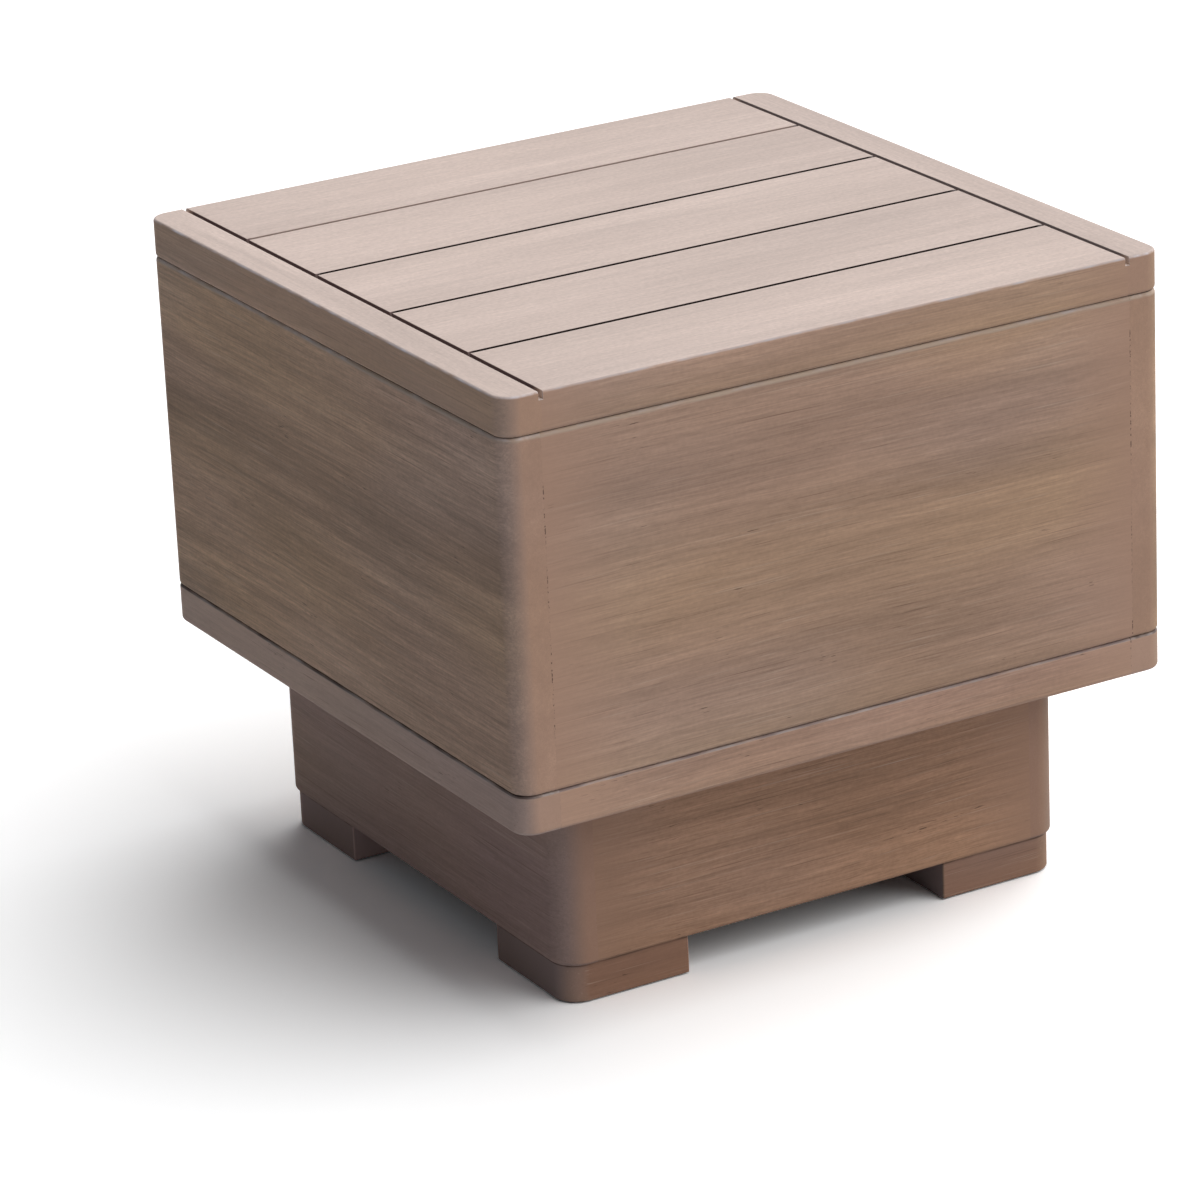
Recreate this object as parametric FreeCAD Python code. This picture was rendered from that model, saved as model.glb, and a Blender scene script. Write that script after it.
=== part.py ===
import FreeCAD, Part
import math
import os
from FreeCAD import Vector

# A side table of solid hardwood. Two slabs with breadboard ends close a boxed body above and below,
# and the body stands on a set-back plinth with four block feet.
# Millimetres, +Z up. The origin is on the floor under the table's middle, +X runs along the planks
# of the top, and the front faces -Y.

# Overall form
TABLE_WIDTH = 508.0
TABLE_DEPTH = 500.0
SLAB_THICKNESS = 27.5
BODY_HEIGHT = 244.0
CARCASS_CORNER_RADIUS = 14.0  # upright corners of both slabs and of the body
PLINTH_WIDTH = 400.0
PLINTH_DEPTH = 400.0
PLINTH_HEIGHT = 126.5
PLINTH_CORNER_RADIUS = 20.0
FOOT_SIDE = 95.0
FOOT_HEIGHT = 27.0
FOOT_INSET = 2.5  # step back from the plinth's faces
FOOT_CORNER_RADIUS = 18.0

# Rounded edges
TOP_SLAB_UPPER_ROUND = 2.0
TOP_SLAB_LOWER_ROUND = 2.5
BODY_UPPER_ROUND = 3.0
BODY_LOWER_ROUND = 3.0
BOTTOM_SLAB_UPPER_ROUND = 2.0
BOTTOM_SLAB_LOWER_ROUND = 3.0
PLINTH_LOWER_ROUND = 3.0
FOOT_EDGE_ROUND = 1.2

# Boards of the slabs
END_BATTEN_WIDTH = 29.0
INNER_PLANK_WIDTHS = (104.5, 104.5, 101.0)  # front to back; the two outer planks share the rest
END_KERF_WIDTH = 3.4  # groove sawn over the joint of planks and end batten
PLANK_KERF_WIDTH = 3.0  # groove sawn over the joint of two planks
KERF_DEPTH = 5.5
KERF_EASE = 0.4  # radius rubbed on the upper edges of a groove

# Tongues of the slabs
SLAB_TONGUE_THICKNESS = 8.0
SLAB_TONGUE_SETBACK = 6.0  # from the slab's underside up to the tongue
PLANK_TONGUE_LENGTH = 8.0
END_TONGUE_LENGTH = 10.0
END_TONGUE_STOP = 22.0  # the end tongues stop this far from the slab's front and back
PEG_RADIUS = 3.0
PEG_SPACING = 140.0
PEG_BITE = 3.0  # how far a peg goes on past the tongue

# Boxes of the body and the plinth
BODY_BOARD = 27.5
PLINTH_BOARD = 26.0
CORNER_TONGUE_THICKNESS = 9.0
CORNER_TONGUE_LENGTH = 9.0
BODY_POST_SIDE = 36.0
PLINTH_BLOCK_SIDE = 36.0
CLEAT_WIDTH = 24.0
CLEAT_HEIGHT = 24.0
CROSS_BATTEN_WIDTH = 45.0
PLINTH_SCREW_END_DISTANCE = 30.0  # from a plinth cleat's end to its last screw

# Fasteners and glides
SCREW_HEAD_RADIUS = 4.2
SCREW_HEAD_HEIGHT = 2.6
SCREW_SHANK_RADIUS = 2.2
SCREW_POINT = 5.0
SLAB_SCREW_BITE = 14.0
FOOT_SCREW_BITE = 19.0
FOOT_SCREW_EDGE = 7.0  # from a foot screw's axis to the sides of its corner block
FOOT_COUNTERBORE_RADIUS = 5.0
FOOT_COUNTERBORE_DEPTH = 8.0
GLIDE_RADIUS = 10.0
GLIDE_THICKNESS = 4.0
GLIDE_PROUD = 1.0
GLIDE_CHAMFER = 0.6
GLIDE_STEM_RADIUS = 2.5
GLIDE_STEM_LENGTH = 12.0

# Fits
TONGUE_CLEARANCE = 0.15  # on each cheek of a tongue
TONGUE_END_ROOM = 0.5  # past a tongue's end, for the wood to swell
FASTENER_CLEARANCE = 0.1

# Levels, floor to top
foot_low = GLIDE_PROUD
plinth_low = foot_low + FOOT_HEIGHT
plinth_high = plinth_low + PLINTH_HEIGHT
body_low = plinth_high + SLAB_THICKNESS
body_high = body_low + BODY_HEIGHT

# Lines in plan
plank_end = TABLE_WIDTH / 2 - END_BATTEN_WIDTH
body_inner_x = TABLE_WIDTH / 2 - BODY_BOARD
body_inner_y = TABLE_DEPTH / 2 - BODY_BOARD
plinth_inner_x = PLINTH_WIDTH / 2 - PLINTH_BOARD
plinth_inner_y = PLINTH_DEPTH / 2 - PLINTH_BOARD
outer_plank_width = (TABLE_DEPTH - sum(INNER_PLANK_WIDTHS)) / 2
plank_lines = [-TABLE_DEPTH / 2, -TABLE_DEPTH / 2 + outer_plank_width]
for inner_width in INNER_PLANK_WIDTHS:
    plank_lines.append(plank_lines[-1] + inner_width)
plank_lines.append(TABLE_DEPTH / 2)
plank_centres = [(front + back) / 2 for front, back in zip(plank_lines, plank_lines[1:])]

SIDES = {"left": -1, "right": 1}
ENDS = {"front": -1, "back": 1}
CORNERS = {f"{end}_{side}": (SIDES[side], ENDS[end]) for end in ENDS for side in SIDES}
SLACK = 1e-6  # lengths that differ by less are the same

pieces = {}


def box(x_range, y_range, z_range):
    """A box between two values on each axis, given in either order."""
    low = Vector(min(x_range), min(y_range), min(z_range))
    high = Vector(max(x_range), max(y_range), max(z_range))
    size = high - low
    return Part.makeBox(size.x, size.y, size.z, low)


def edges_at_level(shape, level):
    """The edges that lie whole at one height."""
    return [
        edge
        for edge in shape.Edges
        if abs(edge.BoundBox.ZMin - level) < SLACK and abs(edge.BoundBox.ZMax - level) < SLACK
    ]


def upright_edges(shape):
    """The straight vertical edges."""
    return [edge for edge in shape.Edges if edge.BoundBox.XLength < SLACK and edge.BoundBox.YLength < SLACK]


def rounded_block(width, depth, low, high, corner_radius, upper_round, lower_round):
    """A block about the Z axis with round upright corners, and its upper and lower edges rounded over."""
    block = box((-width / 2, width / 2), (-depth / 2, depth / 2), (low, high))
    block = block.makeFillet(corner_radius, upright_edges(block))
    for level, radius in ((high, upper_round), (low, lower_round)):
        if radius > 0:
            block = block.makeFillet(radius, edges_at_level(block, level))
    return block


def turned(outline):
    """A solid turned about the Z axis from its outline, a list of (radius, height)."""
    points = [Vector(radius, 0, height) for radius, height in outline]
    face = Part.Face(Part.makePolygon(points + points[:1]))
    return face.revolve(Vector(0, 0, 0), Vector(0, 0, 1), 360)


def drill(names, cutters):
    """Takes each cutter out of each named piece that it reaches."""
    for name in names:
        reached = [cutter for cutter in cutters if cutter.BoundBox.intersect(pieces[name].BoundBox)]
        if reached:
            pieces[name] = pieces[name].cut(reached)


# Breadboard slabs

def kerf(width, start, along):
    """A sawn groove, as a cutter: a slot whose upper edges are rounded, carried along a line on the slab."""
    across = Vector(0, 0, 1).cross(along).normalize()
    up = Vector(0, 0, 1)
    half = width / 2
    lip = half + KERF_EASE
    bow = KERF_EASE * (1 - math.cos(math.radians(45)))

    def at(offset, height):
        return start + across * offset + up * height

    edges = [
        Part.LineSegment(at(-lip, KERF_EASE), at(-lip, 0)).toShape(),
        Part.Arc(at(-lip, 0), at(-half - bow, -bow), at(-half, -KERF_EASE)).toShape(),
        Part.LineSegment(at(-half, -KERF_EASE), at(-half, -KERF_DEPTH)).toShape(),
        Part.LineSegment(at(-half, -KERF_DEPTH), at(half, -KERF_DEPTH)).toShape(),
        Part.LineSegment(at(half, -KERF_DEPTH), at(half, -KERF_EASE)).toShape(),
        Part.Arc(at(half, -KERF_EASE), at(half + bow, -bow), at(lip, 0)).toShape(),
        Part.LineSegment(at(lip, 0), at(lip, KERF_EASE)).toShape(),
        Part.LineSegment(at(lip, KERF_EASE), at(-lip, KERF_EASE)).toShape(),
    ]
    return Part.Face(Part.Wire(edges)).extrude(along)


def slab_kerfs(high):
    """The grooves over the joints of a slab whose upper face is at this height."""
    cutters = []
    for line in plank_lines[1:-1]:
        cutters.append(kerf(PLANK_KERF_WIDTH, Vector(-plank_end, line, high), Vector(2 * plank_end, 0, 0)))
    for side in SIDES.values():
        start = Vector(side * plank_end, -TABLE_DEPTH / 2, high)
        cutters.append(kerf(END_KERF_WIDTH, start, Vector(0, TABLE_DEPTH, 0)))
    return cutters


def plank(number, low):
    """One plank: a tongue along its back, a groove along its front, and a tongue on each end."""
    front, back = plank_lines[number], plank_lines[number + 1]
    high = low + SLAB_THICKNESS
    tongue_low = low + SLAB_TONGUE_SETBACK
    tongue_high = tongue_low + SLAB_TONGUE_THICKNESS
    tongue_tip = plank_end + END_TONGUE_LENGTH
    body = box((-tongue_tip, tongue_tip), (front, back), (low, high))
    is_first = number == 0
    is_last = number == len(plank_centres) - 1
    if not is_last:
        tip = back + PLANK_TONGUE_LENGTH
        body = body.fuse(box((-tongue_tip, tongue_tip), (back, tip), (tongue_low, tongue_high)))
    if not is_first:
        floor = front + PLANK_TONGUE_LENGTH + TONGUE_END_ROOM
        groove = (tongue_low - TONGUE_CLEARANCE, tongue_high + TONGUE_CLEARANCE)
        body = body.cut(box((-tongue_tip, tongue_tip), (front, floor), groove))
    for side in SIDES.values():
        end = (side * plank_end, side * tongue_tip)
        body = body.cut(box(end, (front, back), (low, tongue_low)))
        body = body.cut(box(end, (front, back), (tongue_high, high)))
        if is_first:
            body = body.cut(box(end, (front, front + END_TONGUE_STOP), (low, high)))
        if is_last:
            body = body.cut(box(end, (back - END_TONGUE_STOP, back), (low, high)))
    return body


def end_batten(side, low):
    """A batten across the ends of the planks, with a stopped groove for their tongues."""
    half_depth = TABLE_DEPTH / 2
    x_range = (side * plank_end, side * TABLE_WIDTH / 2)
    body = box(x_range, (-half_depth, half_depth), (low, low + SLAB_THICKNESS))
    floor = plank_end + END_TONGUE_LENGTH + TONGUE_END_ROOM
    stop = half_depth - END_TONGUE_STOP + TONGUE_END_ROOM
    groove_low = low + SLAB_TONGUE_SETBACK - TONGUE_CLEARANCE
    groove_high = low + SLAB_TONGUE_SETBACK + SLAB_TONGUE_THICKNESS + TONGUE_CLEARANCE
    return body.cut(box((side * plank_end, side * floor), (-stop, stop), (groove_low, groove_high)))


def batten_pegs(face, length, room):
    """Pegs through both end battens and their tongues, from one face of the slab inwards."""
    pegs = []
    for side in SIDES.values():
        for y in (-PEG_SPACING, 0, PEG_SPACING):
            foot = Vector(side * (plank_end + END_TONGUE_LENGTH / 2), y, face)
            pegs.append(Part.makeCylinder(PEG_RADIUS + room, abs(length), foot, Vector(0, 0, length)))
    return pegs


def breadboard_slab(slab, board, low, upper_round, lower_round):
    """Planks and end battens of one slab, rounded over together; returns their names."""
    high = low + SLAB_THICKNESS
    rounds = (CARCASS_CORNER_RADIUS, upper_round, lower_round)
    outer = rounded_block(TABLE_WIDTH, TABLE_DEPTH, low, high, *rounds)
    names = []
    for number in range(len(plank_centres)):
        names.append(f"{slab}_{board}_{number + 1}")
        pieces[names[-1]] = plank(number, low).common(outer)
    for side_name, side in SIDES.items():
        names.append(f"{slab}_end_batten_{side_name}")
        pieces[names[-1]] = end_batten(side, low).common(outer)
    return names


# Boxes of four boards

def board_box(box_name, post_name, width, depth, low, high, board, post, corner_radius, rounds):
    """Four boards and four inner corner posts: front and back boards are tongued into the side boards."""
    inner_x = width / 2 - board
    inner_y = depth / 2 - board
    outer = rounded_block(width, depth, low, high, corner_radius, *rounds)
    tongue_tip = inner_x + CORNER_TONGUE_LENGTH
    half_tongue = CORNER_TONGUE_THICKNESS / 2
    dadoes = []
    for end_name, end in ENDS.items():
        middle = end * (inner_y + board / 2)
        panel = box((-inner_x, inner_x), (end * inner_y, end * depth / 2), (low, high))
        tongues = box((-tongue_tip, tongue_tip), (middle - half_tongue, middle + half_tongue), (low, high))
        pieces[f"{box_name}_panel_{end_name}"] = panel.fuse(tongues).common(outer)
        half_dado = half_tongue + TONGUE_CLEARANCE
        floor = tongue_tip + TONGUE_END_ROOM
        dadoes.append(box((-floor, floor), (middle - half_dado, middle + half_dado), (low, high)))
    for side_name, side in SIDES.items():
        panel = box((side * inner_x, side * width / 2), (-depth / 2, depth / 2), (low, high))
        pieces[f"{box_name}_panel_{side_name}"] = panel.cut(dadoes).common(outer)
    for corner, (side, end) in CORNERS.items():
        x_range = (side * (inner_x - post), side * inner_x)
        y_range = (end * (inner_y - post), end * inner_y)
        pieces[f"{box_name}_{post_name}_{corner}"] = box(x_range, y_range, (low, high))


# Screws and glides

def screw(length, room):
    """A countersunk wood screw up from the origin; room widens it into its hole."""
    return turned([
        (0, 0),
        (SCREW_HEAD_RADIUS + room, 0),
        (SCREW_SHANK_RADIUS + room, SCREW_HEAD_HEIGHT),
        (SCREW_SHANK_RADIUS + room, length - SCREW_POINT),
        (0, length + room),
    ])


def add_screws(group, names, length, heads, points_up):
    """A group of like screws, each with its hole through the named pieces."""
    holes = []
    screws = []
    for head in heads:
        for room, made in ((0, screws), (FASTENER_CLEARANCE, holes)):
            solid = screw(length, room)
            if not points_up:
                solid.rotate(Vector(0, 0, 0), Vector(1, 0, 0), 180)
            solid.translate(head)
            made.append(solid)
    drill(names, holes)
    pieces[group] = Part.makeCompound(screws)


def glide(room):
    """A nylon glide with its face on the floor and its stem up; room widens it into its seat."""
    stem_radius = GLIDE_STEM_RADIUS + room
    stem_top = GLIDE_THICKNESS + GLIDE_STEM_LENGTH + room
    return turned([
        (0, 0),
        (GLIDE_RADIUS - GLIDE_CHAMFER + room, 0),
        (GLIDE_RADIUS + room, GLIDE_CHAMFER),
        (GLIDE_RADIUS + room, GLIDE_THICKNESS),
        (stem_radius, GLIDE_THICKNESS),
        (stem_radius, stem_top),
        (0, stem_top),
    ])


def foot(side, end):
    """A block foot under one corner of the plinth: its outer corner is round, its other edges are eased."""
    outer_x = PLINTH_WIDTH / 2 - FOOT_INSET
    outer_y = PLINTH_DEPTH / 2 - FOOT_INSET
    x_range = (side * (outer_x - FOOT_SIDE), side * outer_x)
    y_range = (end * (outer_y - FOOT_SIDE), end * outer_y)
    block = box(x_range, y_range, (foot_low, plinth_low))
    corner = Vector(side * outer_x, end * outer_y, 0)

    def reach(edge):
        middle = edge.BoundBox.Center
        return Vector(middle.x, middle.y, 0).distanceToPoint(corner)

    block = block.makeFillet(FOOT_CORNER_RADIUS, [min(upright_edges(block), key=reach)])
    past_the_round = (FOOT_CORNER_RADIUS + FOOT_SIDE) / 2
    eased = [edge for edge in upright_edges(block) if reach(edge) > past_the_round]
    eased += edges_at_level(block, foot_low)
    return block.makeFillet(FOOT_EDGE_ROUND, eased)


# Top slab
top_low = body_high
top_rounds = (TOP_SLAB_UPPER_ROUND, TOP_SLAB_LOWER_ROUND)
top_names = breadboard_slab("top", "plank", top_low, *top_rounds)
drill(top_names, slab_kerfs(top_low + SLAB_THICKNESS))
top_peg_length = SLAB_TONGUE_SETBACK + SLAB_TONGUE_THICKNESS + PEG_BITE
drill(top_names, batten_pegs(top_low, top_peg_length + FASTENER_CLEARANCE, FASTENER_CLEARANCE))
pieces["top_batten_pegs"] = Part.makeCompound(batten_pegs(top_low, top_peg_length, 0))

# Body
body_rounds = (BODY_UPPER_ROUND, BODY_LOWER_ROUND)
board_box(
    "body", "corner_post", TABLE_WIDTH, TABLE_DEPTH, body_low, body_high,
    BODY_BOARD, BODY_POST_SIDE, CARCASS_CORNER_RADIUS, body_rounds,
)
body_cleat_end = body_inner_y - BODY_POST_SIDE
for side_name, side in SIDES.items():
    x_range = (side * (body_inner_x - CLEAT_WIDTH), side * body_inner_x)
    y_range = (-body_cleat_end, body_cleat_end)
    pieces[f"top_cleat_{side_name}"] = box(x_range, y_range, (body_high - CLEAT_HEIGHT, body_high))
    pieces[f"bottom_cleat_{side_name}"] = box(x_range, y_range, (body_low, body_low + CLEAT_HEIGHT))
half_cross = CROSS_BATTEN_WIDTH / 2
pieces["top_cross_batten"] = box(
    (-half_cross, half_cross), (-body_inner_y, body_inner_y), (body_high - CLEAT_HEIGHT, body_high)
)

# Bottom slab
bottom_rounds = (BOTTOM_SLAB_UPPER_ROUND, BOTTOM_SLAB_LOWER_ROUND)
bottom_names = breadboard_slab("bottom", "board", plinth_high, *bottom_rounds)
bottom_peg_length = SLAB_THICKNESS - SLAB_TONGUE_SETBACK + PEG_BITE
drill(bottom_names, batten_pegs(body_low, -bottom_peg_length - FASTENER_CLEARANCE, FASTENER_CLEARANCE))
pieces["bottom_batten_pegs"] = Part.makeCompound(batten_pegs(body_low, -bottom_peg_length, 0))

# Plinth
board_box(
    "plinth", "corner_block", PLINTH_WIDTH, PLINTH_DEPTH, plinth_low, plinth_high,
    PLINTH_BOARD, PLINTH_BLOCK_SIDE, PLINTH_CORNER_RADIUS, (0, PLINTH_LOWER_ROUND),
)
plinth_cleat_end = plinth_inner_y - PLINTH_BLOCK_SIDE
for side_name, side in SIDES.items():
    x_range = (side * (plinth_inner_x - CLEAT_WIDTH), side * plinth_inner_x)
    y_range = (-plinth_cleat_end, plinth_cleat_end)
    pieces[f"plinth_cleat_{side_name}"] = box(x_range, y_range, (plinth_high - CLEAT_HEIGHT, plinth_high))

# Screws of the cleats
slab_screw_length = CLEAT_HEIGHT + SLAB_SCREW_BITE
body_screw_x = body_inner_x - CLEAT_WIDTH / 2
body_screw_places = [(side * body_screw_x, y) for side in SIDES.values() for y in plank_centres[1:-1]]
top_screw_places = body_screw_places + [(0, y) for y in plank_centres]
plinth_screw_x = plinth_inner_x - CLEAT_WIDTH / 2
last_screw_y = plinth_cleat_end - PLINTH_SCREW_END_DISTANCE
plinth_screw_ys = (-last_screw_y, 0, last_screw_y)
plinth_screw_places = [(side * plinth_screw_x, y) for side in SIDES.values() for y in plinth_screw_ys]
add_screws(
    "top_screws", top_names + ["top_cleat_left", "top_cleat_right", "top_cross_batten"], slab_screw_length,
    [Vector(x, y, body_high - CLEAT_HEIGHT) for x, y in top_screw_places], True,
)
add_screws(
    "bottom_screws", bottom_names + ["bottom_cleat_left", "bottom_cleat_right"], slab_screw_length,
    [Vector(x, y, body_low + CLEAT_HEIGHT) for x, y in body_screw_places], False,
)
add_screws(
    "plinth_screws", bottom_names + ["plinth_cleat_left", "plinth_cleat_right"], slab_screw_length,
    [Vector(x, y, plinth_high - CLEAT_HEIGHT) for x, y in plinth_screw_places], True,
)

# Feet, with their screws and glides
foot_middle_x = PLINTH_WIDTH / 2 - FOOT_INSET - FOOT_SIDE / 2
foot_middle_y = PLINTH_DEPTH / 2 - FOOT_INSET - FOOT_SIDE / 2
block_middle_x = plinth_inner_x - PLINTH_BLOCK_SIDE / 2
block_middle_y = plinth_inner_y - PLINTH_BLOCK_SIDE / 2
screw_step = PLINTH_BLOCK_SIDE / 2 - FOOT_SCREW_EDGE
foot_screw_low = foot_low + FOOT_COUNTERBORE_DEPTH
foot_screw_heads = []
foot_screw_names = []
for corner, (side, end) in CORNERS.items():
    foot_name = f"foot_{corner}"
    pieces[foot_name] = foot(side, end)
    seat = Vector(side * foot_middle_x, end * foot_middle_y, 0)
    glide_seat = glide(FASTENER_CLEARANCE)
    glide_seat.translate(seat)
    pieces[f"foot_glide_{corner}"] = glide(0)
    pieces[f"foot_glide_{corner}"].translate(seat)
    counterbores = []
    for step in (-screw_step, screw_step):
        place = Vector(side * (block_middle_x + step), end * (block_middle_y - step), 0)
        counterbores.append(
            Part.makeCylinder(FOOT_COUNTERBORE_RADIUS, FOOT_COUNTERBORE_DEPTH, place + Vector(0, 0, foot_low))
        )
        foot_screw_heads.append(place + Vector(0, 0, foot_screw_low))
    drill([foot_name], [glide_seat] + counterbores)
    foot_screw_names += [foot_name, f"plinth_corner_block_{corner}"]
add_screws(
    "foot_screws", foot_screw_names, plinth_low - foot_screw_low + FOOT_SCREW_BITE, foot_screw_heads, True
)

# One file for each piece
os.makedirs("parts", exist_ok=True)
for name, shape in pieces.items():
    shape.removeSplitter().exportStep(f"parts/{name}.step")
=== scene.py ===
import math

import bpy
from mathutils import Matrix, Vector


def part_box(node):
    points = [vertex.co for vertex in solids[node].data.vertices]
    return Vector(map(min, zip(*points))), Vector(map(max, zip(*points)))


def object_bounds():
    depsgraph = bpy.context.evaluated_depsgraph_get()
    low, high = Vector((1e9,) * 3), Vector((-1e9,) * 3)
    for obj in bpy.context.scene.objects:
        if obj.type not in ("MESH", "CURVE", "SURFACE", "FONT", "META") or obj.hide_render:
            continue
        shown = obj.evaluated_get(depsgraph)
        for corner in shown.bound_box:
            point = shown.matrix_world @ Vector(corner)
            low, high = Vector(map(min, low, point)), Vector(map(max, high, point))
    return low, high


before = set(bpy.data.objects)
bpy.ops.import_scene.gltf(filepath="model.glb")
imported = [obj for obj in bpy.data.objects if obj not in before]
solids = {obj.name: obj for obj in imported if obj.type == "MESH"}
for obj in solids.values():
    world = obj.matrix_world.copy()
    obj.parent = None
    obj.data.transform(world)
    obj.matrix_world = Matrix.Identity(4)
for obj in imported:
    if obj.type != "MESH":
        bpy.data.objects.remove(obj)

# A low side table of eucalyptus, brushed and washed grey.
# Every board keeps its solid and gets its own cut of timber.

MM = 0.001
solid_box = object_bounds()

# Levels and joints that the finish follows
table_top = solid_box[1].z
half_depth = solid_box[1].y
body_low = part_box("body_panel_front")[0].z
body_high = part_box("body_panel_front")[1].z
body_seam = -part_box("body_panel_left")[1].x
batten_seam = -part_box("bottom_end_batten_left")[1].x
plinth_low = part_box("plinth_panel_front")[0].z
plinth_seam = -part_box("plinth_panel_left")[1].x

# The photograph's camera, fitted to the table's straight edges
CAMERA_PLACE = Vector((-1.8407, -3.1552, 1.5753))
CAMERA_AZIMUTH = math.radians(-29.62)
CAMERA_ELEVATION = math.radians(20.81)
CAMERA_ROLL = math.radians(-2.583)
CAMERA_LENS_MM = 167.9
SENSOR_MM = 36.0

# Light: one very wide soft key from the right, half way up, in an even white surround
KEY_AZIMUTH = math.radians(79.0)
KEY_ELEVATION = math.radians(44.0)
KEY_STRENGTH = 4.0
KEY_SPREAD = math.radians(105.0)
SURROUND_LIGHT = (0.124, 0.131, 0.14, 1.0)
SURROUND_SEEN_COLOUR = "#ffffff"

# Floor: bleached white to the eye, and a cool mid grey in what it throws back
FLOOR_HALF_SIDE = 12.0
FLOOR_SEEN_WHITE = (1.368, 1.363, 1.358, 1.0)
FLOOR_BOUNCE_GREY = (0.46, 0.545, 0.67, 1.0)

# Grain, as length and width in millimetres, noise detail, and how far it moves the brightness
GRAIN_LAYERS = {
    "mottle": (3.0, 2.2, 1.0, 0.06),
    "fibres": (20.0, 0.9, 2.0, 0.15),
    "streaks": (130.0, 2.2, 2.0, 0.13),
    "bands": (300.0, 13.0, 2.0, 0.15),
    "clouds": (300.0, 85.0, 1.0, 0.18),
}
NOISE_LOW = 0.2  # noise seldom leaves these two
NOISE_HIGH = 0.8

# Other patterns, as length and width in millimetres
TONE_SIZE = (380.0, 110.0)
HAZE_SIZE = (280.0, 110.0)
WAVE_SIZE = (230.0, 90.0)
HAIR_SIZE = (130.0, 0.9)
PORE_SIZE = (9.0, 0.8)
PORE_FIELD_SIZE = (60.0, 20.0)
EDGE_GRIT_SIZE = (14.0, 5.0)
BAND_PATCH_SIZE = (28.0, 9.0)
SEAM_DOT_SIZE = (1.6, 1.6)
SEAM_RUN_SIZE = (26.0, 26.0)
ZINC_MOTTLE_SIZE = (1.5, 1.5)
NYLON_GRAIN_SIZE = (0.6, 0.6)
NYLON_SCUFF_SIZE = (5.0, 0.7)

# Distances in the timber, and at its edges, joints and grooves
WAVE_SHIFT = 3.5 * MM
PLANER_RIPPLE = 3.0 * MM
RIPPLE_WANDER = 0.3
WAVE_LENGTH_AT_ONE = math.pi / 10.0  # metres, of a wave texture at a scale of one
SANDED_LENGTH = 60.0 * MM  # from an end joint along the board
SEAM_WIDTH = 0.6 * MM
INWARD_FULL = 50.0 * MM  # from the middle to where the painted light on inward faces is full
KERF_DARK = 0.05 * MM  # below the top, where a groove's stain and painted shade are full
REAR_KERF_FROM = 100.0 * MM  # behind the middle
END_KERF_REACH = 3.0 * MM  # to either side of an end groove
KERF_END_PALE = 3.0 * MM  # from the front and back faces
KERF_END_DARK = 12.0 * MM
KERF_MOUTH_HALF = 1.75 * MM
KERF_MOUTH_DEPTH = 5.9 * MM

# How a noise or a slope becomes an effect: the stretch of it that counts, then the least and most effect
TONE_DRIFT = {"From Min": 0.32, "From Max": 0.68}
HAZE_PATCHES = {"From Min": 0.5, "From Max": 0.75}
DARK_HAIRS = {"From Min": 0.66, "From Max": 0.8, "To Max": 0.55}
PALE_HAIRS = {"From Min": 0.36, "From Max": 0.2, "To Max": 0.4}
PORE_POINTS = {"From Min": 0.74, "From Max": 0.8}
PORE_FIELDS = {"From Min": 0.62, "From Max": 0.7, "To Max": 0.7}
SANDED_FACES = {"From Min": 0.55, "From Max": 0.95, "To Max": 0.75}
LEVEL_FACES = {"From Min": 0.72, "From Max": 0.98}
WASH_FILM = {"From Max": 2.0, "To Min": 0.54, "To Max": 1.46}
WASH_MOTTLE = {"From Min": NOISE_LOW, "From Max": NOISE_HIGH, "To Min": 0.95, "To Max": 1.05}
EDGE_PATCHES = {"From Min": 0.3, "From Max": 0.7, "To Min": 0.25}
HALF_UP = {"From Max": 0.25}
HALF_ROUND = {"From Max": 0.5}
SEAM_DOTS = {"From Min": 0.5, "From Max": 0.62}
SEAM_RUNS = {"From Min": 0.42, "From Max": 0.58, "To Min": 0.1}
BAND_PATCHES = {"From Min": 0.35, "From Max": 0.6, "To Min": 0.35}
NYLON_SCUFFS = {"From Min": 0.5, "From Max": 0.75}

# Gloss and relief of each finish
BRUSHED_ROUGHNESS = {"To Min": 0.55, "To Max": 0.8}
PLANED_ROUGHNESS = {"To Min": 0.5, "To Max": 0.7}
ZINC_ROUGHNESS = {"To Min": 0.25, "To Max": 0.5}
NYLON_ROUGHNESS = {"To Min": 0.42, "To Max": 0.65}
BRUSHED_RELIEF = {"Strength": 0.25, "Distance": 0.15 * MM}
PLANED_RELIEF = {"Strength": 0.3, "Distance": 0.05 * MM}
NYLON_RELIEF = {"Strength": 0.2, "Distance": 0.05 * MM}
BRUSHED_GLOSS = {"IOR": 1.5, "Specular IOR Level": 0.1}
PLANED_GLOSS = {"IOR": 1.5, "Specular IOR Level": 0.2}
NYLON_GLOSS = {"IOR": 1.53}

# Shares of haze, sanding, bands along joints and chips, and of a band's reach at full strength
COMMON_HAZE = 0.3
SANDED_END_COVER = 0.75
BAND_COVER = 0.9
CHIP_COVER = 0.65
BAND_CORE = 0.6

# Colours: the tones of a group of boards are two of timber and one for sanded ends
# pale wash on level faces, with a painted sheen in it
WASH_AND_SHEEN_COLOUR = "#cdbcb4"
HAZE_COLOUR = "#9c8d88"
DARK_HAIR_COLOUR = "#654b3c"
PALE_HAIR_COLOUR = "#d2b69e"
PORE_COLOUR = "#3d2e27"
SEAM_COLOUR = "#46352e"
# inside the grooves: partly stain, partly painted shade, set groove by groove
PLANK_KERF_COLOUR = "#261a19"
REAR_KERF_COLOUR = "#a8938a"
LEFT_KERF_COLOUR = "#8a7572"
RIGHT_KERF_COLOUR = "#a09390"
KERF_CHIP_COLOUR = "#dccdc2"
RAW_TONES = ("#c19a72", "#b88f6c")
BODY_TONES = ("#b49071", "#b18e77", "#b68f77")
BOTTOM_TONES = ("#be9679", "#bb947f", "#bd967e")
BOTTOM_SIDE_TONES = ("#bf9f88", "#be9e8c", "#bc947b")
PLINTH_TONES = ("#ac8366", "#a98166", "#a68068")
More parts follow.
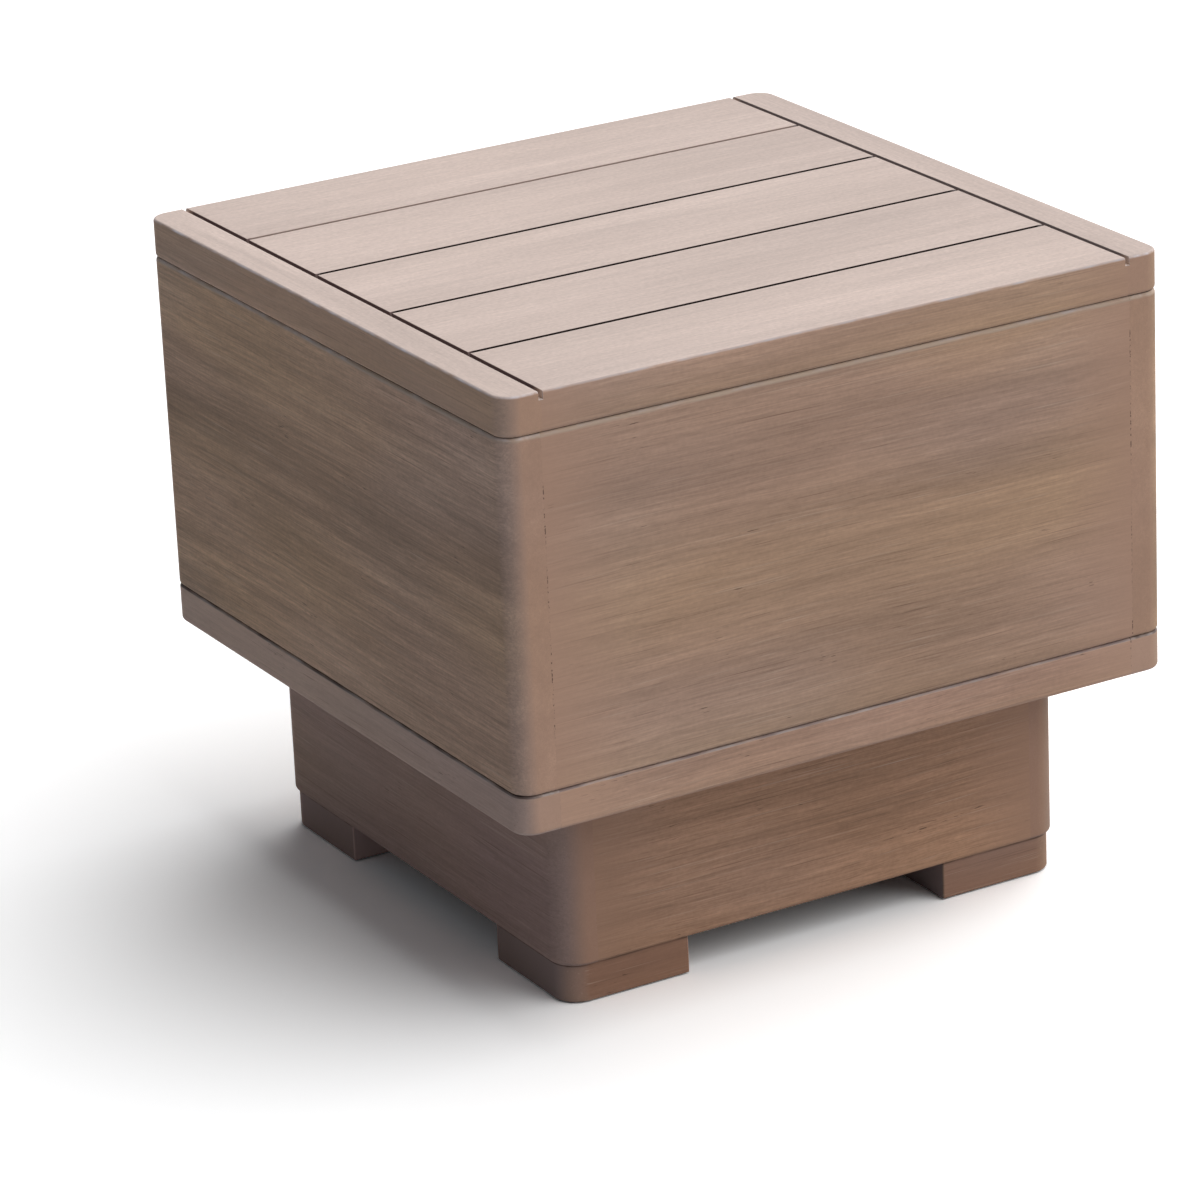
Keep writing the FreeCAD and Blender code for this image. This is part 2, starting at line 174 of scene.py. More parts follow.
# the plinth's side boards are greyer: painted cool shade
PLINTH_SIDE_TONES = ("#a38470", "#a08174", "#a77f66")
# the feet are darker than the body: painted shade near the floor
FOOT_TONES = ("#9c755c", "#956f5a", "#917c75")

# Upright corners, as a colour and its share: a pale painted highlight, and painted shade on the right-hand
# boards
WORN_AND_HIGHLIT_CORNER = ("#cba996", 0.42)
PLINTH_CORNER = ("#bd9d8b", 0.34)
RIGHT_CORNER_SHADE = ("#857059", 0.45)

# Painted shade along the joints, in the grooves between the parts
FRONT_TOP_SHADE = "#6d5348"
SIDE_TOP_SHADE = "#5e4b45"
FRONT_BOTTOM_SHADE = "#83706b"
SIDE_BOTTOM_SHADE = "#54443f"
PLINTH_JOINT_SHADE = "#654d3e"

# Metal and nylon
ZINC_TONES = ("#b9bbbd", "#cfcabc")
NYLON_TONES = ("#2e2723", "#574c45")

# Shading of the solids' meshes
MERGE_DISTANCE = 0.002 * MM
SHARP_ANGLE = math.radians(32.0)
FLAT_WEIGHT = 90


def to_linear(hex_colour):
    """An sRGB colour written as six hex digits, as linear red, green and blue with an alpha of one."""
    parts = [int(hex_colour[i:i + 2], 16) / 255.0 for i in (1, 3, 5)]
    return [c / 12.92 if c <= 0.04045 else ((c + 0.055) / 1.055) ** 2.4 for c in parts] + [1.0]


def add_node(tree, kind, links=None, **settings):
    """Adds a node with its settings, feeds its inputs with values or outputs, and gives its first output."""
    node = tree.nodes.new(kind)
    for name, value in settings.items():
        setattr(node, name, value)
    for key, value in (links or {}).items():
        named = [socket for socket in node.inputs if socket.enabled and socket.name == key]
        socket = named[0] if named else node.inputs[key]
        if isinstance(value, bpy.types.NodeSocket):
            tree.links.new(value, socket)
        else:
            socket.default_value = value
    shown = [socket for socket in node.outputs if socket.enabled]
    return shown[0] if shown else node


def empty_material(name):
    """A new material with an empty node tree."""
    material = bpy.data.materials.new(name)
    material.use_nodes = True
    material.node_tree.nodes.clear()
    return material, material.node_tree


def grain_noise(tree, board, length_mm, width_mm, detail=1.0):
    """Noise drawn out along the grain, in cells of that length and width."""
    scale = (1.0 / (length_mm * MM), 1.0 / (width_mm * MM), 1.0 / (width_mm * MM))
    stretched = add_node(tree, "ShaderNodeMapping", {"Vector": board, "Scale": scale})
    return add_node(tree, "ShaderNodeTexNoise", {"Vector": stretched, "Scale": 1.0, "Detail": detail})


def sawn_board(tree, place, grain, cut):
    """Coordinates in the tree that a board was cut from: X runs along the grain, which wanders a little."""
    turn = {"X": (0.0, 0.0, 0.0), "Y": (0.0, 0.0, math.pi / 2), "Z": (0.0, math.pi / 2, 0.0)}[grain]
    board = add_node(tree, "ShaderNodeMapping", {"Vector": place, "Location": cut, "Rotation": turn})
    wave = grain_noise(tree, board, *WAVE_SIZE)
    wander = add_node(tree, "ShaderNodeMapRange", {
        "Value": wave, "To Min": -WAVE_SHIFT, "To Max": WAVE_SHIFT})
    aside = add_node(tree, "ShaderNodeCombineXYZ", {"Y": wander, "Z": wander})
    return add_node(tree, "ShaderNodeVectorMath", {0: board, 1: aside}, operation="ADD")


def timber_grain(tree, board, figure=1.0):
    """The grain's brightness about one, from mottle up to bands and clouds, and each layer's noise by name.

    The figure says how bold the grain is, with one for the common run of boards.
    """
    layers = {}
    shade = 1.0
    for layer, (length, width, detail, strength) in GRAIN_LAYERS.items():
        layers[layer] = grain_noise(tree, board, length, width, detail)
        step = add_node(tree, "ShaderNodeMapRange", {
            "Value": layers[layer], "From Min": NOISE_LOW, "From Max": NOISE_HIGH,
            "To Min": 1.0 - strength, "To Max": 1.0 + strength})
        shade = add_node(tree, "ShaderNodeMath", {0: shade, 1: step}, operation="MULTIPLY")
    return add_node(tree, "ShaderNodeMath", {0: shade, 1: figure}, operation="POWER"), layers


def two_tone_timber(tree, board, shade, tones, cover=COMMON_HAZE):
    """Timber that drifts between two tones, under a cool haze of wash in places, shaded by the grain."""
    drift = grain_noise(tree, board, *TONE_SIZE)
    drift = add_node(tree, "ShaderNodeMapRange", {"Value": drift, **TONE_DRIFT})
    timber = add_node(tree, "ShaderNodeMix", {
        "Factor": drift, "A": to_linear(tones[0]), "B": to_linear(tones[1])}, data_type="RGBA")
    haze = grain_noise(tree, board, *HAZE_SIZE)
    haze = add_node(tree, "ShaderNodeMapRange", {"Value": haze, **HAZE_PATCHES, "To Max": cover})
    timber = add_node(tree, "ShaderNodeMix", {
        "Factor": haze, "A": timber, "B": to_linear(HAZE_COLOUR)}, data_type="RGBA")
    return add_node(tree, "ShaderNodeVectorMath", {0: timber, "Scale": shade}, operation="SCALE")


def hair_lines(tree, board, timber):
    """Long hair lines, dark at one end of their noise and pale at the other."""
    hair = grain_noise(tree, board, *HAIR_SIZE)
    for hairs, colour in ((DARK_HAIRS, DARK_HAIR_COLOUR), (PALE_HAIRS, PALE_HAIR_COLOUR)):
        line = add_node(tree, "ShaderNodeMapRange", {"Value": hair, **hairs})
        timber = add_node(tree, "ShaderNodeMix", {
            "Factor": line, "A": timber, "B": to_linear(colour)}, data_type="RGBA")
    return timber


def open_pores(tree, board, timber):
    """A few short dark pores, gathered in fields; gives the timber and the pores."""
    pore = grain_noise(tree, board, *PORE_SIZE, detail=0.0)
    pore = add_node(tree, "ShaderNodeMapRange", {"Value": pore, **PORE_POINTS})
    field = grain_noise(tree, board, *PORE_FIELD_SIZE)
    field = add_node(tree, "ShaderNodeMapRange", {"Value": field, **PORE_FIELDS})
    pore = add_node(tree, "ShaderNodeMath", {0: pore, 1: field}, operation="MULTIPLY")
    timber = add_node(tree, "ShaderNodeMix", {
        "Factor": pore, "A": timber, "B": to_linear(PORE_COLOUR)}, data_type="RGBA")
    return timber, pore


def sanded_ends(tree, facing, across, grain, timber, tone, end):
    """Faces cut across the grain are sanded smooth, and so are long boards near their end joint."""
    smooth = add_node(tree, "ShaderNodeMath", {0: facing[grain], 1: facing[grain]}, operation="MULTIPLY")
    smooth = add_node(tree, "ShaderNodeMapRange", {"Value": smooth, **SANDED_FACES})
    if grain == "X" and end is not None:
        near = add_node(tree, "ShaderNodeMapRange", {
            "Value": across, "From Min": end - SANDED_LENGTH, "From Max": end, "To Max": SANDED_END_COVER})
        smooth = add_node(tree, "ShaderNodeMath", {0: smooth, 1: near}, operation="MAXIMUM")
    return add_node(tree, "ShaderNodeMix", {
        "Factor": smooth, "A": timber, "B": to_linear(tone)}, data_type="RGBA")


def level_wash_and_sheen(tree, facing, shade, mottle, timber, cover):
    """The pale wash on level faces, with a painted sheen that makes them lighter: it lets half of the grain
    through and dries a little mottled.
    """
    level = add_node(tree, "ShaderNodeMapRange", {
        "Value": facing["Z"], **LEVEL_FACES, "To Max": cover}, interpolation_type="SMOOTHSTEP")
    thin = add_node(tree, "ShaderNodeMapRange", {"Value": shade, **WASH_FILM})
    dried = add_node(tree, "ShaderNodeMapRange", {"Value": mottle, **WASH_MOTTLE})
    thin = add_node(tree, "ShaderNodeMath", {0: thin, 1: dried}, operation="MULTIPLY")
    film = add_node(tree, "ShaderNodeVectorMath", {
        0: to_linear(WASH_AND_SHEEN_COLOUR)[:3], "Scale": thin}, operation="SCALE")
    return add_node(tree, "ShaderNodeMix", {"Factor": level, "A": timber, "B": film}, data_type="RGBA")


def painted_inward_light(tree, facing, at, timber, colour):
    """Painted light: faces that look forwards or backwards to the middle of the table are painted paler, as
    if lit from low down under the table.
    """
    inward = add_node(tree, "ShaderNodeMath", {0: facing["Y"], 1: at["Y"]}, operation="MULTIPLY")
    inward_light = add_node(tree, "ShaderNodeMapRange", {
        "Value": inward, "From Min": 0.0, "From Max": -INWARD_FULL})
    return add_node(tree, "ShaderNodeMix", {
        "Factor": inward_light, "A": timber, "B": to_linear(colour)}, data_type="RGBA")


def rubbed_and_highlit_edges(tree, board, facing, timber, colour, corner):
    """Edges that look up are rubbed pale in patches, partly wear and partly a painted highlight, and upright
    corners take a colour of their own, a painted highlight or on the right-hand boards painted shade.

    The rub and painted highlight are strongest where a face turns half way from level to upright, and the
    corner colour where it turns half way from one side to the next.
    """
    grit = grain_noise(tree, board, *EDGE_GRIT_SIZE)
    broken = add_node(tree, "ShaderNodeMapRange", {"Value": grit, **EDGE_PATCHES})
    raised = add_node(tree, "ShaderNodeMath", {0: facing["Z"], 1: 0.0}, operation="MAXIMUM")
    square = add_node(tree, "ShaderNodeMath", {0: raised, 1: raised}, operation="MULTIPLY")
    rest = add_node(tree, "ShaderNodeMath", {0: 1.0, 1: square}, operation="SUBTRACT")
    edge = add_node(tree, "ShaderNodeMath", {0: square, 1: rest}, operation="MULTIPLY")
    edge = add_node(tree, "ShaderNodeMapRange", {"Value": edge, **HALF_UP})
    edge = add_node(tree, "ShaderNodeMath", {0: edge, 1: broken}, operation="MULTIPLY")
    timber = add_node(tree, "ShaderNodeMix", {
        "Factor": edge, "A": timber, "B": to_linear(colour)}, data_type="RGBA")
    corner_colour, corner_share = corner
    turn = add_node(tree, "ShaderNodeMath", {0: facing["X"], 1: facing["Y"]}, operation="MULTIPLY")
    turn = add_node(tree, "ShaderNodeMath", {0: turn}, operation="ABSOLUTE")
    turn = add_node(tree, "ShaderNodeMapRange", {"Value": turn, **HALF_ROUND, "To Max": corner_share})
    return add_node(tree, "ShaderNodeMix", {
        "Factor": turn, "A": timber, "B": to_linear(corner_colour)}, data_type="RGBA")


def joint_band(tree, board, height, timber, level, reach, colour):
    """Painted shade, or rub with a painted highlight, along a joint at this level: it shows in patches and
    fades this far from it.
    """
    off = add_node(tree, "ShaderNodeMath", {0: height, 1: level}, operation="SUBTRACT")
    off = add_node(tree, "ShaderNodeMath", {0: off}, operation="ABSOLUTE")
    band = add_node(tree, "ShaderNodeMapRange", {
        "Value": off, "From Min": reach, "From Max": BAND_CORE * reach, "To Max": BAND_COVER})
    patches = grain_noise(tree, board, *BAND_PATCH_SIZE)
    patches = add_node(tree, "ShaderNodeMapRange", {"Value": patches, **BAND_PATCHES})
    band = add_node(tree, "ShaderNodeMath", {0: band, 1: patches}, operation="MULTIPLY")
    return add_node(tree, "ShaderNodeMix", {
        "Factor": band, "A": timber, "B": to_linear(colour)}, data_type="RGBA")


def corner_seam(tree, place, across, timber, seam):
    """A glued corner joint at this distance from the middle: a broken row of dark pores."""
    off = add_node(tree, "ShaderNodeMath", {0: across, 1: seam}, operation="SUBTRACT")
    off = add_node(tree, "ShaderNodeMath", {0: off}, operation="ABSOLUTE")
    near = add_node(tree, "ShaderNodeMapRange", {"Value": off, "From Min": SEAM_WIDTH, "From Max": 0.0})
    dots = grain_noise(tree, place, *SEAM_DOT_SIZE, detail=0.0)
    dots = add_node(tree, "ShaderNodeMapRange", {"Value": dots, **SEAM_DOTS})
    runs = grain_noise(tree, place, *SEAM_RUN_SIZE, detail=0.0)
    runs = add_node(tree, "ShaderNodeMapRange", {"Value": runs, **SEAM_RUNS})
    for part in (runs, near):
        dots = add_node(tree, "ShaderNodeMath", {0: dots, 1: part}, operation="MULTIPLY")
    return add_node(tree, "ShaderNodeMix", {
        "Factor": dots, "A": timber, "B": to_linear(SEAM_COLOUR)}, data_type="RGBA")


def stained_and_shaded_kerfs(tree, at, across, along, timber):
    """The grooves sawn between the planks are darkened inside, partly stain and partly painted shade, the
    rear groove and the end grooves less so, and the left end groove more than the right.

    Where an end groove runs out at the front and back, the saw has chipped its mouth pale.
    """
    deep = add_node(tree, "ShaderNodeMapRange", {
        "Value": at["Z"], "From Min": table_top, "From Max": table_top - KERF_DARK})
    rear = add_node(tree, "ShaderNodeMath", {0: at["Y"], 1: REAR_KERF_FROM}, operation="GREATER_THAN")
    kerf_dark_colour = add_node(tree, "ShaderNodeMix", {
        "Factor": rear, "A": to_linear(PLANK_KERF_COLOUR), "B": to_linear(REAR_KERF_COLOUR)},
        data_type="RGBA")
    right = add_node(tree, "ShaderNodeMath", {0: at["X"], 1: 0.0}, operation="GREATER_THAN")
    end_kerf_dark_colour = add_node(tree, "ShaderNodeMix", {
        "Factor": right, "A": to_linear(LEFT_KERF_COLOUR), "B": to_linear(RIGHT_KERF_COLOUR)},
        data_type="RGBA")
    ends = add_node(tree, "ShaderNodeMapRange", {
        "Value": across,
        "From Min": batten_seam - 2.0 * END_KERF_REACH, "From Max": batten_seam - END_KERF_REACH})
    kerf_dark_colour = add_node(tree, "ShaderNodeMix", {
        "Factor": ends, "A": kerf_dark_colour, "B": end_kerf_dark_colour}, data_type="RGBA")
    inside = add_node(tree, "ShaderNodeMapRange", {
        "Value": along, "From Min": half_depth - KERF_END_PALE, "From Max": half_depth - KERF_END_DARK})
    kerf = add_node(tree, "ShaderNodeMath", {
        0: across, 1: batten_seam + END_KERF_REACH}, operation="LESS_THAN")
    darkening = deep
    for part in (inside, kerf):
        darkening = add_node(tree, "ShaderNodeMath", {0: darkening, 1: part}, operation="MULTIPLY")
    timber = add_node(tree, "ShaderNodeMix", {
        "Factor": darkening, "A": timber, "B": kerf_dark_colour}, data_type="RGBA")
    mouth = add_node(tree, "ShaderNodeMapRange", {
        "Value": along, "From Min": half_depth - KERF_END_DARK, "From Max": half_depth - KERF_END_PALE,
        "To Max": CHIP_COVER})
    slot = add_node(tree, "ShaderNodeMath", {
        0: across, 1: batten_seam, 2: KERF_MOUTH_HALF}, operation="COMPARE")
    high = add_node(tree, "ShaderNodeMath", {
        0: at["Z"], 1: table_top - KERF_MOUTH_DEPTH}, operation="GREATER_THAN")
    chip = deep
    for part in (mouth, slot, high):
        chip = add_node(tree, "ShaderNodeMath", {0: chip, 1: part}, operation="MULTIPLY")
    return add_node(tree, "ShaderNodeMix", {
        "Factor": chip, "A": timber, "B": to_linear(KERF_CHIP_COLOUR)}, data_type="RGBA")


def brushed_eucalyptus(name, grain, cut, tones, cover, rub_and_highlight, corner, haze=COMMON_HAZE, figure=1.0,
                       end=None, seam=None, bands=(), kerfs=False, inward_light=None):
    """Eucalyptus boards, brushed and then washed grey.

    Fine fibres, streaks and bands run along the grain, and a few pores and hair lines show dark. The finish
    is matt and open, palest on level faces under the wash and a painted sheen, rubbed grey with a painted
    highlight along the edges, and darkened in the grooves and joints by stain and painted shade.

    The cover is the share of wash and painted sheen on level faces, and the haze its share over the rest.
    The end joint and the corner seam are given by their distance from the middle of the table.
    """
    material, tree = empty_material(name)
    coordinates = add_node(tree, "ShaderNodeTexCoord").node.outputs
    place = coordinates["Object"]
    facing = add_node(tree, "ShaderNodeSeparateXYZ", {"Vector": coordinates["Normal"]}).node.outputs
    at = add_node(tree, "ShaderNodeSeparateXYZ", {"Vector": place}).node.outputs
    across = add_node(tree, "ShaderNodeMath", {0: at["X"]}, operation="ABSOLUTE")
    along = add_node(tree, "ShaderNodeMath", {0: at["Y"]}, operation="ABSOLUTE")

    board = sawn_board(tree, place, grain, cut)
    shade, layers = timber_grain(tree, board, figure)
    timber = two_tone_timber(tree, board, shade, tones, haze)
    timber = hair_lines(tree, board, timber)
    timber, pore = open_pores(tree, board, timber)
    timber = sanded_ends(tree, facing, across, grain, timber, tones[2], end)
    timber = level_wash_and_sheen(tree, facing, shade, layers["mottle"], timber, cover)
    if inward_light is not None:
        timber = painted_inward_light(tree, facing, at, timber, inward_light)
    timber = rubbed_and_highlit_edges(tree, board, facing, timber, rub_and_highlight, corner)
    for level, reach, colour in bands:
        timber = joint_band(tree, board, at["Z"], timber, level, reach, colour)
    if seam is not None:
        timber = corner_seam(tree, place, across, timber, seam)
    if kerfs:
        timber = stained_and_shaded_kerfs(tree, at, across, along, timber)

    relief = add_node(tree, "ShaderNodeMath", {0: layers["fibres"], 1: pore}, operation="SUBTRACT")
    bump = add_node(tree, "ShaderNodeBump", {"Height": relief, **BRUSHED_RELIEF})
    rough = add_node(tree, "ShaderNodeMapRange", {"Value": layers["streaks"], **BRUSHED_ROUGHNESS})
    shader = add_node(tree, "ShaderNodeBsdfPrincipled", {
        "Base Color": timber, "Roughness": rough, "Normal": bump, **BRUSHED_GLOSS})
    add_node(tree, "ShaderNodeOutputMaterial", {"Surface": shader})
    return material


def planed_eucalyptus(name, grain, cut):
    """Eucalyptus, planed and left raw: warm and even, with the planer's faint ripples across the grain."""
    material, tree = empty_material(name)
    place = add_node(tree, "ShaderNodeTexCoord").node.outputs["Object"]
    board = sawn_board(tree, place, grain, cut)
    shade, layers = timber_grain(tree, board)
    timber = two_tone_timber(tree, board, shade, RAW_TONES)
    timber = hair_lines(tree, board, timber)
    timber, pore = open_pores(tree, board, timber)
    ripple = add_node(tree, "ShaderNodeTexWave", {
        "Vector": board, "Scale": WAVE_LENGTH_AT_ONE / PLANER_RIPPLE, "Distortion": RIPPLE_WANDER},
        bands_direction="X").node
    relief = add_node(tree, "ShaderNodeMath", {0: ripple.outputs["Fac"], 1: pore}, operation="SUBTRACT")
    bump = add_node(tree, "ShaderNodeBump", {"Height": relief, **PLANED_RELIEF})
    rough = add_node(tree, "ShaderNodeMapRange", {"Value": layers["streaks"], **PLANED_ROUGHNESS})
    shader = add_node(tree, "ShaderNodeBsdfPrincipled", {
        "Base Color": timber, "Roughness": rough, "Normal": bump, **PLANED_GLOSS})
    add_node(tree, "ShaderNodeOutputMaterial", {"Surface": shader})
    return material


def zinc_plated_steel(name):
    """Zinc-plated steel, cold headed: a soft grey sheen, faintly mottled by the passivation."""
    material, tree = empty_material(name)
    place = add_node(tree, "ShaderNodeTexCoord").node.outputs["Object"]
    mottle = grain_noise(tree, place, *ZINC_MOTTLE_SIZE, detail=3.0)
    colour = add_node(tree, "ShaderNodeMix", {
        "Factor": mottle, "A": to_linear(ZINC_TONES[0]), "B": to_linear(ZINC_TONES[1])}, data_type="RGBA")
    rough = add_node(tree, "ShaderNodeMapRange", {"Value": mottle, **ZINC_ROUGHNESS})
    shader = add_node(tree, "ShaderNodeBsdfPrincipled", {
        "Base Color": colour, "Roughness": rough, "Metallic": 1.0})
    add_node(tree, "ShaderNodeOutputMaterial", {"Surface": shader})
    return material


def moulded_nylon(name):
    """Moulded nylon, dark brown: a fine eggshell grain, scuffed paler where it meets the floor."""
    material, tree = empty_material(name)
    place = add_node(tree, "ShaderNodeTexCoord").node.outputs["Object"]
    grain = grain_noise(tree, place, *NYLON_GRAIN_SIZE, detail=2.0)
    scuffs = grain_noise(tree, place, *NYLON_SCUFF_SIZE, detail=2.0)
    worn = add_node(tree, "ShaderNodeMapRange", {"Value": scuffs, **NYLON_SCUFFS})
    colour = add_node(tree, "ShaderNodeMix", {
        "Factor": worn, "A": to_linear(NYLON_TONES[0]), "B": to_linear(NYLON_TONES[1])}, data_type="RGBA")
    rough = add_node(tree, "ShaderNodeMapRange", {"Value": worn, **NYLON_ROUGHNESS})
    bump = add_node(tree, "ShaderNodeBump", {"Height": grain, **NYLON_RELIEF})
    shader = add_node(tree, "ShaderNodeBsdfPrincipled", {
        "Base Color": colour, "Roughness": rough, "Normal": bump, **NYLON_GLOSS})
    add_node(tree, "ShaderNodeOutputMaterial", {"Surface": shader})
    return material


def soft_shading_group():
    """Geometry nodes that weld the loose triangles and smooth every edge that isn't a real arris."""
    tree = bpy.data.node_groups.new("soft_shading", "GeometryNodeTree")
    tree.interface.new_socket("Geometry", in_out="INPUT", socket_type="NodeSocketGeometry")
    tree.interface.new_socket("Geometry", in_out="OUTPUT", socket_type="NodeSocketGeometry")
    loose = add_node(tree, "NodeGroupInput")
    welded = add_node(tree, "GeometryNodeMergeByDistance", {"Geometry": loose, "Distance": MERGE_DISTANCE})
    smooth = add_node(tree, "GeometryNodeSetShadeSmooth", {
        "Geometry": welded, "Shade Smooth": True}, domain="FACE")
    angle = add_node(tree, "GeometryNodeInputMeshEdgeAngle")
    arris = add_node(tree, "FunctionNodeCompare", {
        "A": angle, "B": SHARP_ANGLE}, data_type="FLOAT", operation="GREATER_THAN")
    sharp = add_node(tree, "GeometryNodeSetShadeSmooth", {
        "Geometry": smooth, "Selection": arris, "Shade Smooth": False}, domain="EDGE")
    add_node(tree, "NodeGroupOutput", {"Geometry": sharp})
    return tree


soft_shading = soft_shading_group()
for solid in solids.values():
    solid.modifiers.new("soft_shading", "NODES").node_group = soft_shading
    flats = solid.modifiers.new("level_flats", "WEIGHTED_NORMAL")
    flats.keep_sharp = True
    flats.weight = FLAT_WEIGHT

# The finish of each group of boards, with bands along the joints as level, reach and colour: the body's
# upper lip is rubbed pale with a painted highlight, and the grooves take painted shade
LIP_RUB_AND_HIGHLIGHT = (body_high - 1.2 * MM, 2.4 * MM, "#b59d88")
FINISHES = {
    "top": dict(
        tones=BODY_TONES, cover=0.92, rub_and_highlight="#bdb2b0", end=batten_seam, kerfs=True,
        bands=[(body_high, 0.5 * MM, FRONT_TOP_SHADE)]),
    "body": dict(
        tones=BODY_TONES, cover=0.4, rub_and_highlight="#b8aeab", haze=0.18, end=body_seam, seam=body_seam,
        bands=[LIP_RUB_AND_HIGHLIGHT, (body_high, 0.3 * MM, FRONT_TOP_SHADE),
               (body_low, 0.8 * MM, FRONT_BOTTOM_SHADE)]),
    "bottom": dict(
        tones=BOTTOM_TONES, cover=0.2, rub_and_highlight="#c4b8b1", end=batten_seam, seam=batten_seam,
        bands=[(body_low, 1.5 * MM, FRONT_BOTTOM_SHADE)]),
    "plinth": dict(
        tones=PLINTH_TONES, cover=0.2, rub_and_highlight="#9d8f86", corner=PLINTH_CORNER, haze=0.12, figure=1.25,
        end=plinth_seam, bands=[(plinth_low, 0.8 * MM, PLINTH_JOINT_SHADE)]),
    "foot": dict(
        # painted light on the feet's inward faces
        tones=FOOT_TONES, cover=0.2, rub_and_highlight="#9d8f86", figure=0.5, inward_light="#d3b0a4",
        bands=[(plinth_low, 1.5 * MM, PLINTH_JOINT_SHADE)]),
}

# What differs on the boards of the left and right sides, among it paler edges with more painted highlight
# and darker painted shade in the grooves
SIDE_FINISHES = {
    "top": dict(rub_and_highlight="#d8cfd0"),
    "body": dict(
        rub_and_highlight="#ded5d4", haze=0.2, figure=1.8,
        bands=[LIP_RUB_AND_HIGHLIGHT, (body_high, 0.5 * MM, SIDE_TOP_SHADE),
               (body_low, 1.2 * MM, SIDE_BOTTOM_SHADE)]),
    "bottom": dict(
        tones=BOTTOM_SIDE_TONES, figure=0.7, bands=[(body_low, 1.7 * MM, SIDE_BOTTOM_SHADE)]),
    "plinth": dict(tones=PLINTH_SIDE_TONES, figure=0.9),
}

# Boards are cut this far apart in the tree, in metres, in the order of their names.
# Two panels take a later cut, picked for its figure.
CUT_STEP = (0.37, 0.11, 0.053)
PICKED_CUTS = {"body_panel_left": 75, "body_panel_front": 91}
UPRIGHT_PIECES = ("post", "block", "pegs")
SIDEWAYS_PIECES = ("left", "right", "cross")
INNER_PIECES = ("cleat", "post", "block", "pegs", "cross")


def has_word(name, words):
    """Whether a piece's name holds one of these words."""
    return any(word in name for word in words)


def finish_of(name, cut):
    """The finish of a piece, by the words in its name."""
    group = name.split("_")[0]
    sideways = group != "foot" and has_word(name, SIDEWAYS_PIECES)
    grain = "Z" if has_word(name, UPRIGHT_PIECES) else "Y" if sideways else "X"
    if "screws" in name:
        return zinc_plated_steel("zinc_plated_steel_" + name)
    if "glide" in name:
        return moulded_nylon("moulded_nylon_" + name)
    if has_word(name, INNER_PIECES):
        return planed_eucalyptus("planed_eucalyptus_" + name, grain, cut)
    settings = {"corner": WORN_AND_HIGHLIT_CORNER, **FINISHES[group]}
    if sideways:
        settings.update(SIDE_FINISHES[group])
    # right-hand boards take painted shade on their upright corners
    if "right" in name:
        settings["corner"] = RIGHT_CORNER_SHADE
    return brushed_eucalyptus("brushed_washed_eucalyptus_" + name, grain, cut, **settings)


for number, name in enumerate(sorted(solids)):
    order = PICKED_CUTS.get(name, number)
    cut = [order * step for step in CUT_STEP]
    solids[name].material_slots[0].material = finish_of(name, cut)


def seen_directly(tree):
    """One for camera, glossy and transmission rays, and nought for the light that bounces."""
    rays = add_node(tree, "ShaderNodeLightPath").node.outputs
    shown = rays["Is Camera Ray"]
    for ray in ("Is Glossy Ray", "Is Transmission Ray"):
        shown = add_node(tree, "ShaderNodeMath", {0: shown, 1: rays[ray]}, operation="MAXIMUM")
    return shown


def matt_white_paper():
    """Matt white paper: white to the eye with the table's shadow on it, and grey in what it throws back."""
    material, tree = empty_material("matt_white_paper")
    white = add_node(tree, "ShaderNodeBsdfDiffuse", {"Color": FLOOR_SEEN_WHITE})
    bounce = add_node(tree, "ShaderNodeBsdfDiffuse", {"Color": FLOOR_BOUNCE_GREY})
    paper = add_node(tree, "ShaderNodeMixShader", {0: seen_directly(tree), 1: bounce, 2: white})
    add_node(tree, "ShaderNodeOutputMaterial", {"Surface": paper})
    return material


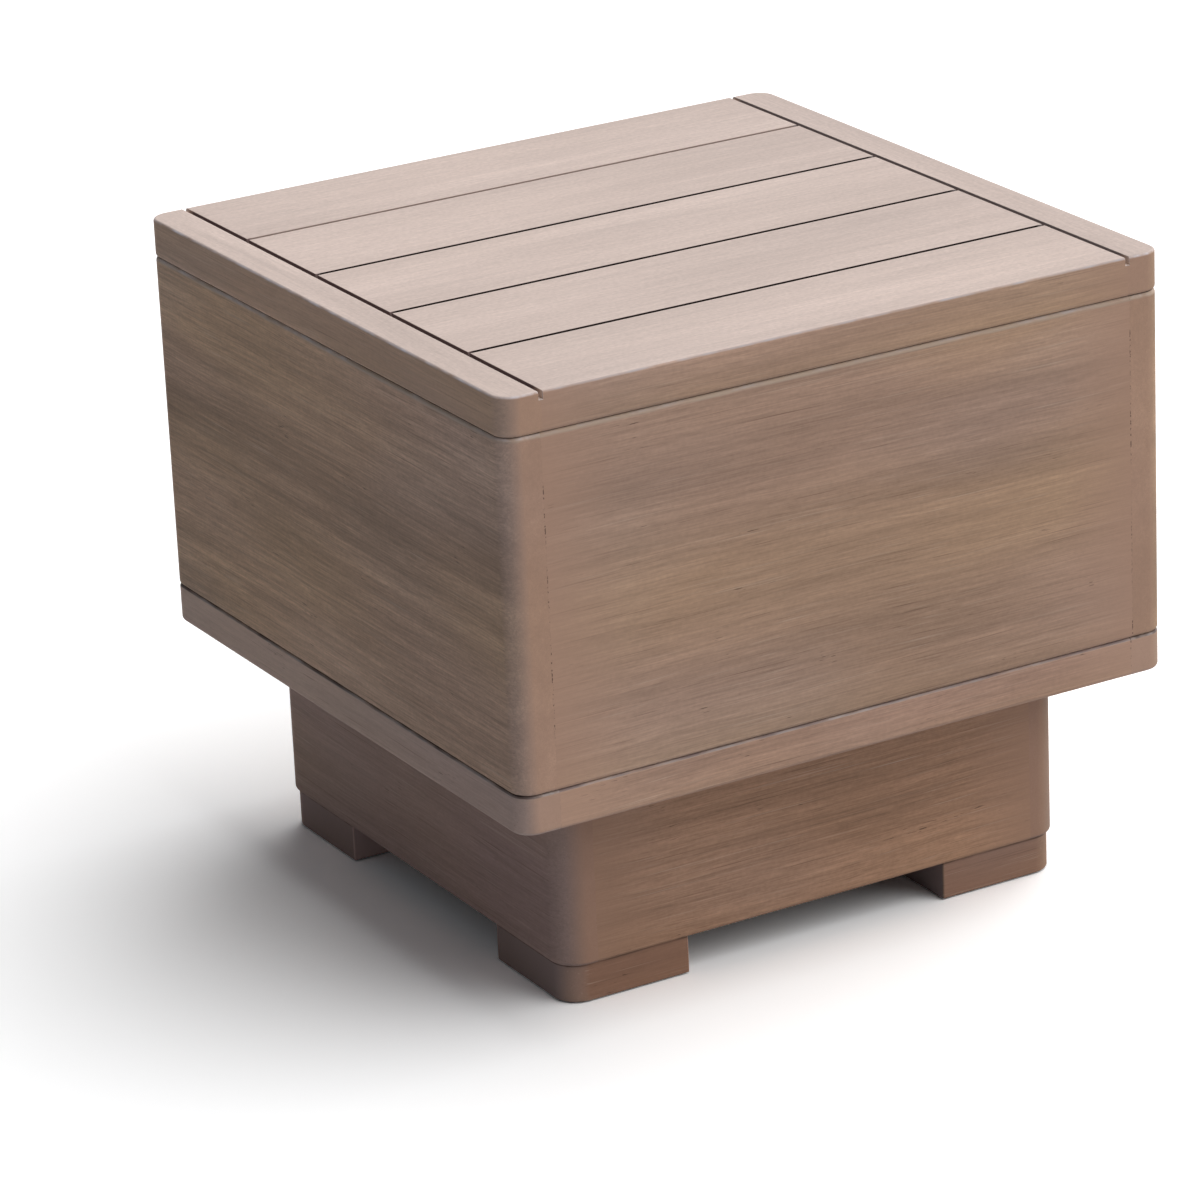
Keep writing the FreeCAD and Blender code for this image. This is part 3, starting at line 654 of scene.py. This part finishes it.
def make_floor():
    """One wide level sheet under the feet."""
    s = FLOOR_HALF_SIDE
    mesh = bpy.data.meshes.new("floor")
    mesh.from_pydata([(-s, -s, 0.0), (s, -s, 0.0), (s, s, 0.0), (-s, s, 0.0)], [], [(0, 1, 2, 3)])
    mesh.materials.append(matt_white_paper())
    floor = bpy.data.objects.new("floor", mesh)
    bpy.context.scene.collection.objects.link(floor)


def direction(azimuth, elevation):
    """The unit vector from the table towards that azimuth and elevation; azimuth nought is the front."""
    return Vector((math.sin(azimuth) * math.cos(elevation),
                   -math.cos(azimuth) * math.cos(elevation),
                   math.sin(elevation)))


def make_light():
    """A wide sun for the key, and an even world that looks white."""
    lamp = bpy.data.lights.new("soft_key", "SUN")
    lamp.energy = KEY_STRENGTH
    lamp.angle = KEY_SPREAD
    key = bpy.data.objects.new("soft_key", lamp)
    key.rotation_euler = direction(KEY_AZIMUTH, KEY_ELEVATION).to_track_quat("Z", "Y").to_euler()
    bpy.context.scene.collection.objects.link(key)
    world = bpy.data.worlds.new("white_surround")
    world.use_nodes = True
    tree = world.node_tree
    tree.nodes.clear()
    shown = add_node(tree, "ShaderNodeMix", {
        "Factor": seen_directly(tree), "A": SURROUND_LIGHT, "B": to_linear(SURROUND_SEEN_COLOUR)},
        data_type="RGBA")
    sky = add_node(tree, "ShaderNodeBackground", {"Color": shown})
    add_node(tree, "ShaderNodeOutputWorld", {"Surface": sky})
    bpy.context.scene.world = world


def make_camera():
    """Turns the camera by its azimuth, elevation and roll, from its fitted place."""
    lens = bpy.data.cameras.new("camera")
    lens.lens = CAMERA_LENS_MM
    lens.sensor_width = SENSOR_MM
    back = direction(CAMERA_AZIMUTH, CAMERA_ELEVATION)
    right = Vector((0.0, 0.0, 1.0)).cross(back).normalized()
    up = back.cross(right)
    rolled_right = right * math.cos(CAMERA_ROLL) + up * math.sin(CAMERA_ROLL)
    rolled_up = up * math.cos(CAMERA_ROLL) - right * math.sin(CAMERA_ROLL)
    camera = bpy.data.objects.new("camera", lens)
    camera.matrix_world = Matrix.Translation(CAMERA_PLACE) @ Matrix(
        (rolled_right, rolled_up, back)).transposed().to_4x4()
    bpy.context.scene.collection.objects.link(camera)
    bpy.context.scene.camera = camera


make_floor()
make_light()
make_camera()
bpy.context.scene.view_settings.view_transform = "Standard"
